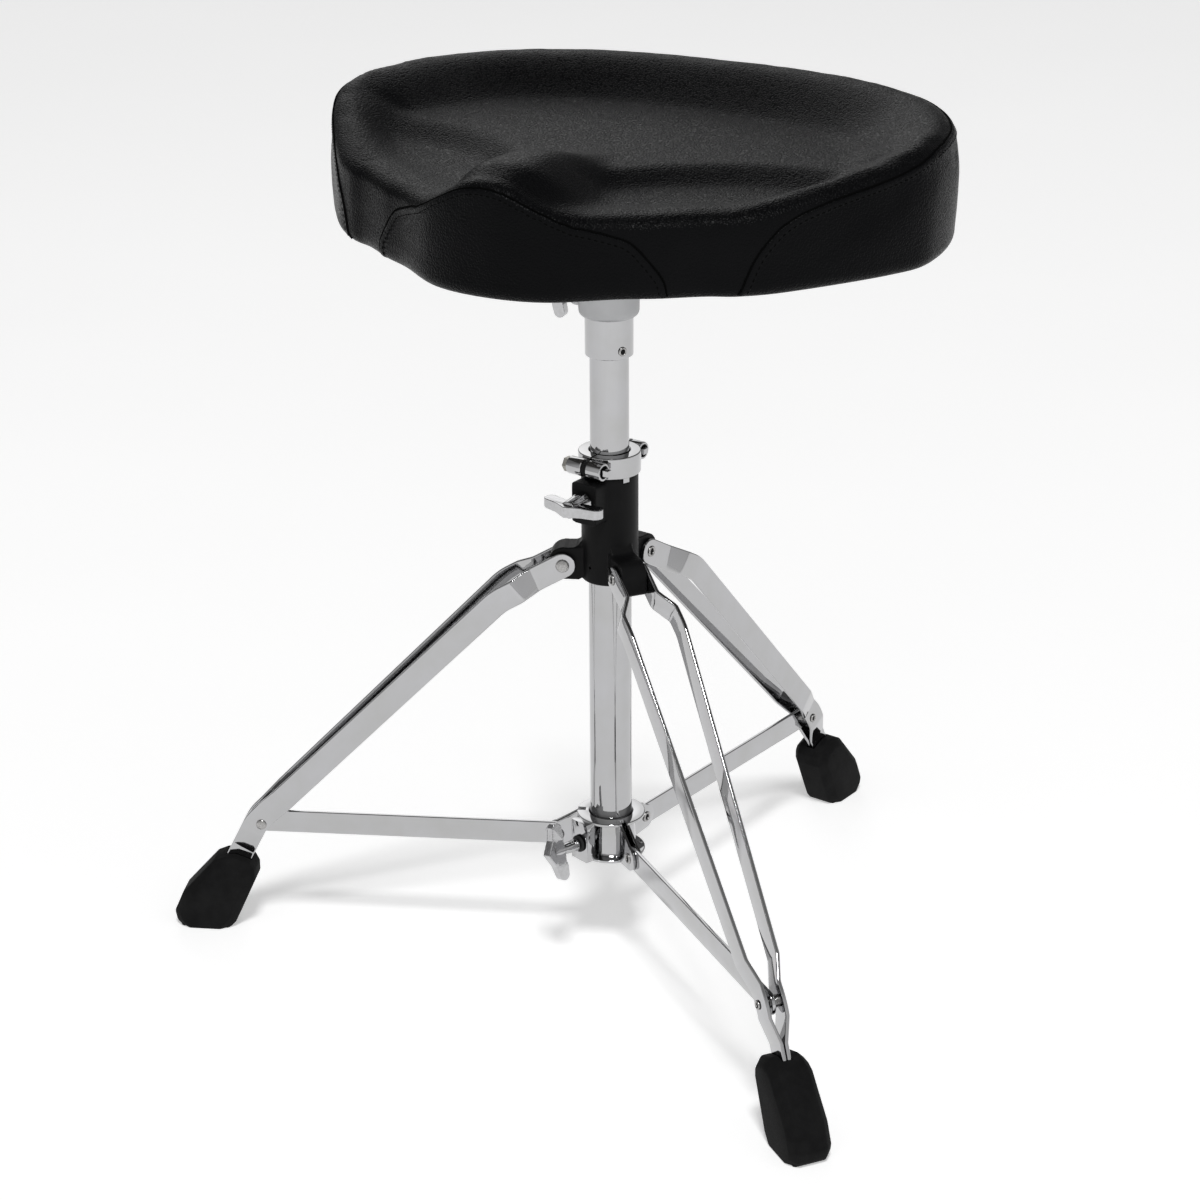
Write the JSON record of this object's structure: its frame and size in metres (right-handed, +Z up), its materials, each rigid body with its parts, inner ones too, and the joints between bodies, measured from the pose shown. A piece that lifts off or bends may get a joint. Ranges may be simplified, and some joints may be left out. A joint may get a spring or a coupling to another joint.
{
  "type": "drum throne",
  "caption": "Padded saddle seat on a height-adjustable post over a folding tripod of doubled chromed straps with braces, a sliding clamp and rubber feet.",
  "frame": {"origin": "on the floor under the middle of the model's box; the post's axis stands at x = 0, y = -0.0805 m", "axes": "+Z up along the post; the tripod's open side, between its two front legs, faces -Y; its single rear leg points to +Y; the seat's nose points to -Y, turned 8.75 degrees about the post"},
  "size_m": [0.6072, 0.5279, 0.6545],
  "materials": {
    "chrome": "polished",
    "rivet": "polished, slightly brushed",
    "wing_bolt": "polished casting",
    "zinc": "zinc plated",
    "black_casting": "satin black powder coat",
    "nylon": "moulded",
    "satin_casting": "satin as cast",
    "rubber": "matt",
    "vinyl": "pebbled vinyl",
    "plywood": "plywood, stained black"
  },
  "bodies": {
    "stand": {"outer_tube": "chrome", "tube_end_cap": "nylon", "hub": "black_casting", "hub_bushing": "nylon", "leg_a_pivot_rivet": "rivet", "leg_b_pivot_rivet": "rivet", "leg_c_pivot_rivet": "rivet"},
    "post": {"seat_post": "chrome", "post_sleeve": "chrome", "sleeve_rivet": "rivet"},
    "seat": {"seat_cushion": "vinyl", "seat_board": "plywood", "seat_bracket": "satin_casting", "bracket_screw_1": "zinc", "bracket_screw_2": "zinc", "bracket_screw_3": "zinc", "bracket_screw_4": "zinc"},
    "seat_bolt": {"seat_wing_bolt": "wing_bolt"},
    "memory_lock": {"memory_lock_left": "chrome", "memory_lock_right": "chrome", "memory_lock_key_screw": "chrome", "memory_lock_key_nut": "zinc", "memory_lock_rear_screw": "chrome", "memory_lock_rear_nut": "zinc"},
    "height_bolt": {"height_wing_bolt": "wing_bolt"},
    "clamp": {"clamp_collar": "chrome", "brace_a_pivot_rivet": "rivet", "brace_b_pivot_rivet": "rivet", "brace_c_pivot_rivet": "rivet"},
    "clamp_bolt": {"clamp_wing_bolt": "wing_bolt", "clamp_washer": "nylon"},
    "leg_a": {"leg_a_strap_left": "chrome", "leg_a_strap_right": "chrome", "leg_a_foot": "rubber", "leg_a_brace_rivet_head": "rivet", "leg_a_brace_rivet_tail": "rivet"},
    "brace_a": {"brace_a": "chrome"},
    "leg_b": {"leg_b_strap_left": "chrome", "leg_b_strap_right": "chrome", "leg_b_foot": "rubber", "leg_b_brace_rivet_head": "rivet", "leg_b_brace_rivet_tail": "rivet"},
    "brace_b": {"brace_b": "chrome"},
    "leg_c": {"leg_c_strap_left": "chrome", "leg_c_strap_right": "chrome", "leg_c_foot": "rubber", "leg_c_brace_rivet_head": "rivet", "leg_c_brace_rivet_tail": "rivet"},
    "brace_c": {"brace_c": "chrome"}
  },
  "joints": [
    {"name": "post_height", "type": "slide", "parent": "stand", "child": "post", "axis": [0, 0, 1], "range_m": [0, 0.11]},
    {"name": "seat_swivel", "type": "hinge", "parent": "post", "child": "seat", "pos_m": [0, -0.0805, 0.52], "axis": [0, 0, 1], "continuous": true},
    {"name": "seat_bolt_turn", "type": "hinge", "parent": "seat", "child": "seat_bolt", "pos_m": [-0.03459, -0.08582, 0.523], "axis": [-0.9884, -0.1521, 0], "continuous": true},
    {"name": "memory_lock_height", "type": "slide", "parent": "post", "child": "memory_lock", "axis": [0, 0, 1], "range_m": [0, 0.068]},
    {"name": "height_bolt_turn", "type": "hinge", "parent": "stand", "child": "height_bolt", "pos_m": [0, -0.1155, 0.3745], "axis": [0, -1, 0], "continuous": true},
    {"name": "clamp_height", "type": "slide", "parent": "stand", "child": "clamp", "axis": [0, 0, 1], "range_m": [0, 0.12707]},
    {"name": "clamp_bolt_turn", "type": "hinge", "parent": "clamp", "child": "clamp_bolt", "pos_m": [-0.00787, -0.1146, 0.0955], "axis": [-0.225, -0.9744, 0], "continuous": true},
    {"name": "leg_a_fold", "type": "hinge", "parent": "stand", "child": "leg_a", "pos_m": [-0.02927, -0.0974, 0.3185], "axis": [0.5, -0.866, 0], "range_deg": [0, 36.01]},
    {"name": "brace_a_swing", "type": "hinge", "parent": "clamp", "child": "brace_a", "pos_m": [-0.03551, -0.101, 0.092], "axis": [0.5, -0.866, 0], "range_deg": [0, 76.75]},
    {"name": "leg_b_fold", "type": "hinge", "parent": "stand", "child": "leg_b", "pos_m": [0, -0.0467, 0.3185], "axis": [-1, 0, 0], "range_deg": [0, 36.01]},
    {"name": "brace_b_swing", "type": "hinge", "parent": "clamp", "child": "brace_b", "pos_m": [0, -0.0395, 0.092], "axis": [-1, 0, 0], "range_deg": [0, 76.75]},
    {"name": "leg_c_fold", "type": "hinge", "parent": "stand", "child": "leg_c", "pos_m": [0.02927, -0.0974, 0.3185], "axis": [0.5, 0.866, 0], "range_deg": [0, 36.01]},
    {"name": "brace_c_swing", "type": "hinge", "parent": "clamp", "child": "brace_c", "pos_m": [0.03551, -0.101, 0.092], "axis": [0.5, 0.866, 0], "range_deg": [0, 76.75]}
  ],
  "couplings": [
    {"joint": "leg_a_fold", "follows": "clamp_height", "rad_per_m": 4.9447},
    {"joint": "brace_a_swing", "follows": "clamp_height", "rad_per_m": 10.541},
    {"joint": "leg_b_fold", "follows": "clamp_height", "rad_per_m": 4.9447},
    {"joint": "brace_b_swing", "follows": "clamp_height", "rad_per_m": 10.541},
    {"joint": "leg_c_fold", "follows": "clamp_height", "rad_per_m": 4.9447},
    {"joint": "brace_c_swing", "follows": "clamp_height", "rad_per_m": 10.541}
  ]
}
